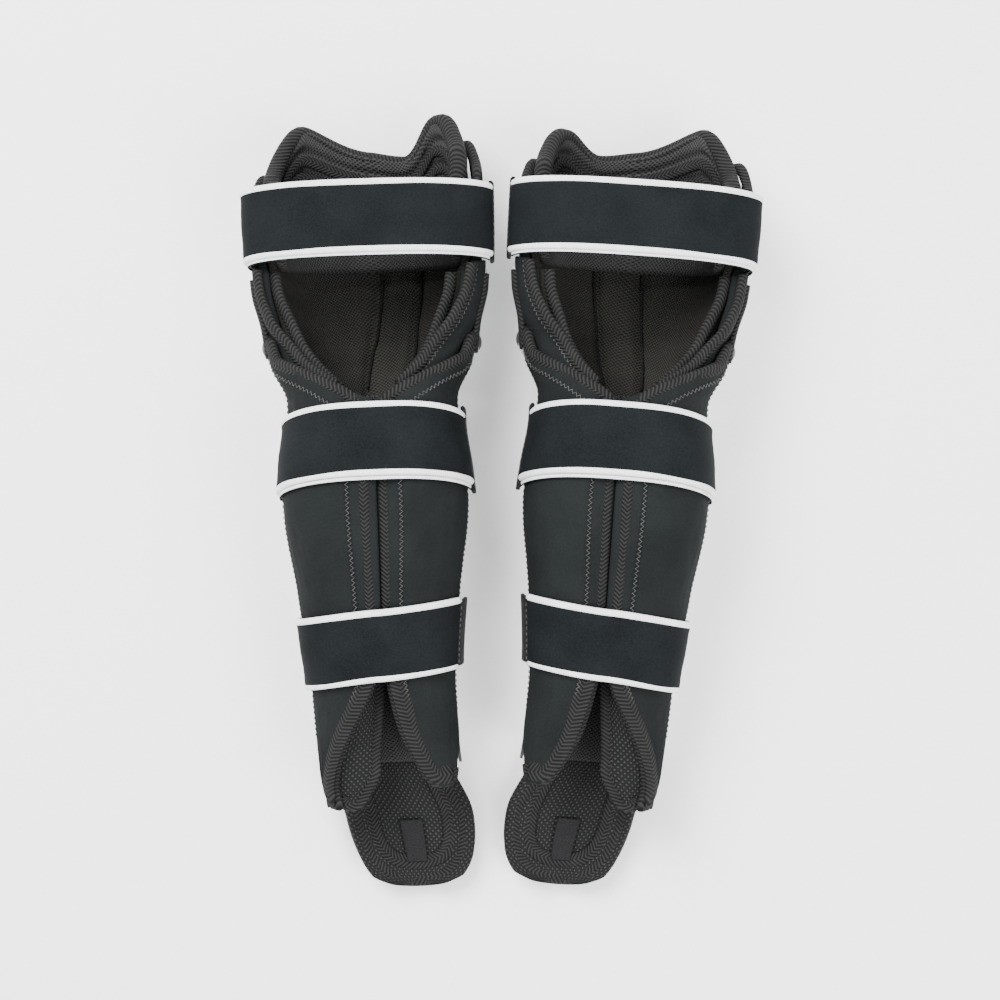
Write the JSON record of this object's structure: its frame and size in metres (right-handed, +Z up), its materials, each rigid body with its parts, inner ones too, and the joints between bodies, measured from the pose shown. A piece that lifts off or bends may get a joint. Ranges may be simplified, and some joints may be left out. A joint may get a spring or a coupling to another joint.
{
  "type": "ice hockey shin guards",
  "caption": "Pair of padded shin guards with hard shin, knee and thigh shells, lined leg cavities, calf wraps, elastic straps and ankle flaps, lying face down.",
  "frame": {"origin": "centre of the pair's bounding box, on the surface it lies on", "axes": "+Y towards the thigh ends, +X across the pair from the left guard in the picture to the right one, +Z up, from the shells to the calf straps"},
  "size_m": [0.3335, 0.5025, 0.1112],
  "materials": {
    "shell": "smooth white moulded plastic",
    "wing": "thin black moulded plastic",
    "foam": "dark closed-cell foam",
    "lining": "black knitted mesh over padding",
    "wrap": "charcoal smooth knit over foam",
    "elastic": "black woven elastic with white edges",
    "tab": "black hook-and-loop tab",
    "rivet": "domed metal rivet"
  },
  "bodies": {
    "left_shin": {"left_shin_shell": "shell", "left_shin_foam": "foam", "left_shin_lining": "lining", "left_wing_inner": "wing", "left_wing_outer": "wing", "left_wing_inner_rivet": "rivet", "left_wing_outer_rivet": "rivet", "left_mid_anchor": "elastic", "left_low_anchor": "elastic"},
    "left_knee": {"left_knee_cap": "shell", "left_knee_foam": "foam", "left_knee_cup": "lining", "left_knee_pivot_inner": "rivet", "left_knee_pivot_outer": "rivet"},
    "left_thigh": {"left_thigh_cap": "shell", "left_thigh_outer_pad": "wrap", "left_thigh_plate": "shell", "left_thigh_inner_pad": "lining", "left_top_anchor": "elastic"},
    "left_tongue": {"left_tongue": "lining", "left_tongue_tab": "tab"},
    "left_wrap_inner": {"left_wrap_inner": "wrap"},
    "left_wrap_outer": {"left_wrap_outer": "wrap"},
    "left_top_strap": {"left_top_strap": "elastic", "left_top_hook_tab": "tab"},
    "left_mid_strap": {"left_mid_strap": "elastic", "left_mid_hook_tab": "tab"},
    "left_low_strap": {"left_low_strap": "elastic", "left_low_hook_tab": "tab"},
    "right_shin": {"right_shin_shell": "shell", "right_shin_foam": "foam", "right_shin_lining": "lining", "right_wing_inner": "wing", "right_wing_outer": "wing", "right_wing_inner_rivet": "rivet", "right_wing_outer_rivet": "rivet", "right_mid_anchor": "elastic", "right_low_anchor": "elastic"},
    "right_knee": {"right_knee_cap": "shell", "right_knee_foam": "foam", "right_knee_cup": "lining", "right_knee_pivot_inner": "rivet", "right_knee_pivot_outer": "rivet"},
    "right_thigh": {"right_thigh_cap": "shell", "right_thigh_outer_pad": "wrap", "right_thigh_plate": "shell", "right_thigh_inner_pad": "lining", "right_top_anchor": "elastic"},
    "right_tongue": {"right_tongue": "lining", "right_tongue_tab": "tab"},
    "right_wrap_inner": {"right_wrap_inner": "wrap"},
    "right_wrap_outer": {"right_wrap_outer": "wrap"},
    "right_top_strap": {"right_top_strap": "elastic", "right_top_hook_tab": "tab"},
    "right_mid_strap": {"right_mid_strap": "elastic", "right_mid_hook_tab": "tab"},
    "right_low_strap": {"right_low_strap": "elastic", "right_low_hook_tab": "tab"}
  },
  "joints": [
    {"name": "left_knee_flex", "type": "hinge", "parent": "left_shin", "child": "left_knee", "pos_m": [-0.08307, 0.10266, 0.058], "axis": [0.9996, 0.0297, 0], "range_deg": [0, 40]},
    {"name": "left_thigh_flex", "type": "hinge", "parent": "left_knee", "child": "left_thigh", "pos_m": [-0.08488, 0.16363, 0.06], "axis": [0.9996, 0.0297, 0], "range_deg": [0, 30]},
    {"name": "left_tongue_flex", "type": "hinge", "parent": "left_shin", "child": "left_tongue", "pos_m": [-0.07473, -0.17822, 0.012], "axis": [-0.9996, -0.0297, 0], "range_deg": [-20, 60]},
    {"name": "left_mid_strap_open", "type": "hinge", "parent": "left_shin", "child": "left_mid_strap", "pos_m": [-0.14334, 0.02901, 0.05569], "axis": [-0.0848, -0.9956, -0.0397], "range_deg": [0, 110]},
    {"name": "left_low_strap_open", "type": "hinge", "parent": "left_shin", "child": "left_low_strap", "pos_m": [-0.13045, -0.09584, 0.04389], "axis": [0.1344, -0.9864, -0.0951], "range_deg": [0, 110]},
    {"name": "left_top_strap_open", "type": "hinge", "parent": "left_thigh", "child": "left_top_strap", "pos_m": [-0.16566, 0.17629, 0.05928], "axis": [0.0502, -0.9967, -0.0643], "range_deg": [0, 110]},
    {"name": "left_wrap_outer_open", "type": "hinge", "parent": "left_shin", "child": "left_wrap_outer", "pos_m": [-0.13714, -0.03051, 0.05075], "axis": [0.0953, -0.9929, -0.0716], "range_deg": [0, 77]},
    {"name": "left_wrap_inner_open", "type": "hinge", "parent": "left_shin", "child": "left_wrap_inner", "pos_m": [-0.01894, -0.027, 0.05075], "axis": [0.0189, 0.9972, 0.0717], "range_deg": [0, 16.5]},
    {"name": "right_knee_flex", "type": "hinge", "parent": "right_shin", "child": "right_knee", "pos_m": [0.0795, 0.10247, 0.058], "axis": [0.9977, -0.068, 0], "range_deg": [0, 40]},
    {"name": "right_thigh_flex", "type": "hinge", "parent": "right_knee", "child": "right_thigh", "pos_m": [0.08365, 0.16333, 0.06], "axis": [0.9977, -0.068, 0], "range_deg": [0, 30]},
    {"name": "right_tongue_flex", "type": "hinge", "parent": "right_shin", "child": "right_tongue", "pos_m": [0.06039, -0.17788, 0.012], "axis": [-0.9977, 0.068, 0], "range_deg": [-20, 60]},
    {"name": "right_mid_strap_open", "type": "hinge", "parent": "right_shin", "child": "right_mid_strap", "pos_m": [0.1369, 0.02656, 0.05569], "axis": [-0.0465, 0.9981, 0.0397], "range_deg": [0, 110]},
    {"name": "right_low_strap_open", "type": "hinge", "parent": "right_shin", "child": "right_low_strap", "pos_m": [0.11923, -0.0977, 0.04389], "axis": [0.1721, 0.9805, 0.0951], "range_deg": [0, 110]},
    {"name": "right_top_strap_open", "type": "hinge", "parent": "right_thigh", "child": "right_top_strap", "pos_m": [0.16486, 0.17288, 0.05928], "axis": [0.0885, 0.994, 0.0643], "range_deg": [0, 110]},
    {"name": "right_wrap_outer_open", "type": "hinge", "parent": "right_shin", "child": "right_wrap_outer", "pos_m": [0.12842, -0.03267, 0.05075], "axis": [0.1334, 0.9885, 0.0716], "range_deg": [0, 77]},
    {"name": "right_wrap_inner_open", "type": "hinge", "parent": "right_shin", "child": "right_wrap_inner", "pos_m": [0.01045, -0.02463, 0.05075], "axis": [-0.0194, -0.9972, -0.0717], "range_deg": [0, 16.5]},
    {"name": "pair_apart", "type": "slide", "parent": "left_shin", "child": "right_shin", "axis": [1, 0, 0], "range_m": [0, 0.1]}
  ],
  "couplings": [
    {"joint": "left_low_strap_open", "follows": "left_mid_strap_open", "ratio": 1},
    {"joint": "left_wrap_outer_open", "follows": "left_mid_strap_open", "ratio": 0.7},
    {"joint": "left_wrap_inner_open", "follows": "left_mid_strap_open", "ratio": 0.15},
    {"joint": "right_low_strap_open", "follows": "right_mid_strap_open", "ratio": 1},
    {"joint": "right_wrap_outer_open", "follows": "right_mid_strap_open", "ratio": 0.7},
    {"joint": "right_wrap_inner_open", "follows": "right_mid_strap_open", "ratio": 0.15}
  ]
}
